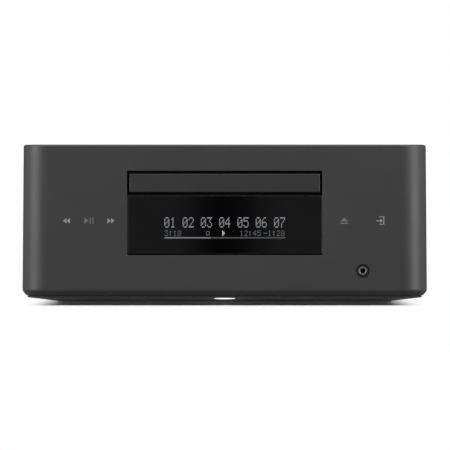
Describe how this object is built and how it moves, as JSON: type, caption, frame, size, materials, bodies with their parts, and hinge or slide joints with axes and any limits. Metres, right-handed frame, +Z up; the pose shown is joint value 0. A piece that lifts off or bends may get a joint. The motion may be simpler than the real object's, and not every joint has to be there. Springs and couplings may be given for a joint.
{
  "type": "compact hi-fi system",
  "caption": "Compact hi-fi disc receiver with a motorised disc tray over a display window, touch controls, rear sockets, fan and folding aerials.",
  "frame": {"origin": "on the table, under the centre of the overall box", "axes": "+X to the right seen from the front, +Y to the rear, +Z up; the front faces -Y"},
  "size_m": [0.28, 0.303, 0.111],
  "materials": {
    "housing_plastic": "matte black, fine texture",
    "door_plastic": "satin black",
    "gloss_acrylic": "polished black",
    "inner_plastic": "moulded black",
    "cap_red": "moulded red",
    "cap_black": "moulded black",
    "rear_steel": "black paint",
    "foot_rubber": "matte",
    "lens_plastic": "lit white diffuser",
    "white_plastic": "natural acetal",
    "board": "coated circuit board",
    "steel": "bright steel",
    "aluminium": "black anodised"
  },
  "bodies": {
    "housing": {"cabinet_wrap": "housing_plastic", "top_plate": "gloss_acrylic", "top_cover": "inner_plastic", "base_pan": "inner_plastic", "indicator_lens": "lens_plastic", "foot_front_left": "foot_rubber", "foot_front_right": "foot_rubber", "foot_rear_left": "foot_rubber", "foot_rear_right": "foot_rubber", "display_window": "gloss_acrylic", "window_bezel": "inner_plastic", "display_module": "board", "touch_sensor_board": "board", "headphone_socket": "steel", "rear_panel": "rear_steel", "speaker_terminals": "inner_plastic", "phono_sockets": "inner_plastic", "optical_input": "inner_plastic", "network_socket": "steel", "usb_socket": "steel", "mains_inlet": "inner_plastic", "aerial_socket": "steel", "fan_frame": "inner_plastic", "main_board": "board", "power_board": "board", "amplifier_board": "board", "transformer": "steel", "filter_capacitor": "aluminium", "heat_sink": "aluminium", "mechanism_stand_left": "steel", "mechanism_stand_right": "steel", "mechanism_frame": "inner_plastic", "clamp_bridge": "steel", "drive_belt": "foot_rubber", "loading_motor": "steel"},
    "tray": {"disc_tray": "inner_plastic", "tray_door": "door_plastic"},
    "tray_gear": {"tray_gear": "white_plastic"},
    "pulley_gear": {"pulley_gear": "white_plastic"},
    "motor_pulley": {"motor_pulley": "white_plastic"},
    "cam_slider": {"cam_slider": "white_plastic"},
    "traverse": {"traverse_frame": "steel", "guide_rod_left": "steel", "guide_rod_right": "steel", "spindle_motor": "steel", "sled_motor": "steel"},
    "turntable": {"turntable": "inner_plastic"},
    "pickup": {"optical_pickup": "inner_plastic"},
    "sled_screw": {"sled_screw": "steel"},
    "clamp_puck": {"clamp_puck": "inner_plastic"},
    "optical_flap": {"optical_flap": "inner_plastic"},
    "fan_rotor": {"fan_rotor": "inner_plastic"},
    "aerial_base_left": {"aerial_base_left": "inner_plastic"},
    "aerial_base_right": {"aerial_base_right": "inner_plastic"},
    "aerial_left": {"aerial_left": "inner_plastic"},
    "aerial_right": {"aerial_right": "inner_plastic"},
    "terminal_cap_1": {"terminal_cap_1": "cap_red"},
    "terminal_cap_2": {"terminal_cap_2": "cap_black"},
    "terminal_cap_3": {"terminal_cap_3": "cap_red"},
    "terminal_cap_4": {"terminal_cap_4": "cap_black"}
  },
  "joints": [
    {"name": "tray_slide", "type": "slide", "parent": "housing", "child": "tray", "axis": [0, -1, 0], "range_m": [0, 0.14]},
    {"name": "tray_gear_spin", "type": "hinge", "parent": "housing", "child": "tray_gear", "pos_m": [-0.04715, -0.1247, 0.0791], "axis": [0, 0, 1], "range_deg": [0, 1146]},
    {"name": "pulley_gear_spin", "type": "hinge", "parent": "housing", "child": "pulley_gear", "pos_m": [-0.03275, -0.1247, 0.0751], "axis": [0, 0, 1], "range_deg": [-2292, 0]},
    {"name": "motor_pulley_spin", "type": "hinge", "parent": "housing", "child": "motor_pulley", "pos_m": [-0.00275, -0.1247, 0.0738], "axis": [0, 0, 1], "range_deg": [-5316, 0]},
    {"name": "traverse_tilt", "type": "hinge", "parent": "housing", "child": "traverse", "pos_m": [0, 0.01745, 0.07635], "axis": [1, 0, 0], "range_deg": [0, 3.09]},
    {"name": "cam_slide", "type": "slide", "parent": "housing", "child": "cam_slider", "axis": [1, 0, 0], "range_m": [0, 0.01401]},
    {"name": "turntable_spin", "type": "hinge", "parent": "traverse", "child": "turntable", "pos_m": [0, -0.07915, 0.07635], "axis": [0, 0, 1], "continuous": true},
    {"name": "puck_spin", "type": "hinge", "parent": "housing", "child": "clamp_puck", "pos_m": [0, -0.07915, 0.096], "axis": [0, 0, 1], "continuous": true},
    {"name": "pickup_slide", "type": "slide", "parent": "traverse", "child": "pickup", "axis": [0, 1, 0], "range_m": [0, 0.036]},
    {"name": "sled_screw_spin", "type": "hinge", "parent": "traverse", "child": "sled_screw", "pos_m": [0.027, -0.03915, 0.07635], "axis": [0, 1, 0], "range_deg": [0, 4321]},
    {"name": "optical_flap_hinge", "type": "hinge", "parent": "housing", "child": "optical_flap", "pos_m": [0.05028, 0.1372, 0.03323], "axis": [-1, 0, 0], "range_deg": [0, 80], "stiffness_Nm_per_rad": 0.0002, "springref_deg": -11.46},
    {"name": "fan_spin", "type": "hinge", "parent": "housing", "child": "fan_rotor", "pos_m": [-0.09513, 0.129, 0.07452], "axis": [0, 1, 0], "continuous": true},
    {"name": "aerial_swivel_left", "type": "hinge", "parent": "housing", "child": "aerial_base_left", "pos_m": [-0.12639, 0.1361, 0.09239], "axis": [0, 1, 0], "range_deg": [-10, 90]},
    {"name": "aerial_swivel_right", "type": "hinge", "parent": "housing", "child": "aerial_base_right", "pos_m": [0.12639, 0.1361, 0.09239], "axis": [0, 1, 0], "range_deg": [-90, 10]},
    {"name": "aerial_fold_left", "type": "hinge", "parent": "aerial_base_left", "child": "aerial_left", "pos_m": [-0.12639, 0.1447, 0.09239], "axis": [1, 0, 0], "range_deg": [0, 180]},
    {"name": "aerial_fold_right", "type": "hinge", "parent": "aerial_base_right", "child": "aerial_right", "pos_m": [0.12639, 0.1447, 0.09239], "axis": [1, 0, 0], "range_deg": [0, 180]},
    {"name": "terminal_cap_1_turn", "type": "hinge", "parent": "housing", "child": "terminal_cap_1", "pos_m": [-0.06927, 0.1448, 0.03281], "axis": [0, 1, 0], "range_deg": [0, 1080]},
    {"name": "terminal_cap_2_turn", "type": "hinge", "parent": "housing", "child": "terminal_cap_2", "pos_m": [-0.05027, 0.1448, 0.03281], "axis": [0, 1, 0], "range_deg": [0, 1080]},
    {"name": "terminal_cap_3_turn", "type": "hinge", "parent": "housing", "child": "terminal_cap_3", "pos_m": [-0.03127, 0.1448, 0.03281], "axis": [0, 1, 0], "range_deg": [0, 1080]},
    {"name": "terminal_cap_4_turn", "type": "hinge", "parent": "housing", "child": "terminal_cap_4", "pos_m": [-0.01227, 0.1448, 0.03281], "axis": [0, 1, 0], "range_deg": [0, 1080]}
  ],
  "couplings": [
    {"joint": "tray_gear_spin", "follows": "tray_slide", "rad_per_m": 142.86},
    {"joint": "pulley_gear_spin", "follows": "tray_slide", "rad_per_m": -285.71},
    {"joint": "motor_pulley_spin", "follows": "tray_slide", "rad_per_m": -662.61},
    {"joint": "cam_slide", "follows": "traverse_tilt", "m_per_rad": 0.25952},
    {"joint": "puck_spin", "follows": "turntable_spin", "ratio": 1},
    {"joint": "sled_screw_spin", "follows": "pickup_slide", "rad_per_m": 2094.4}
  ]
}
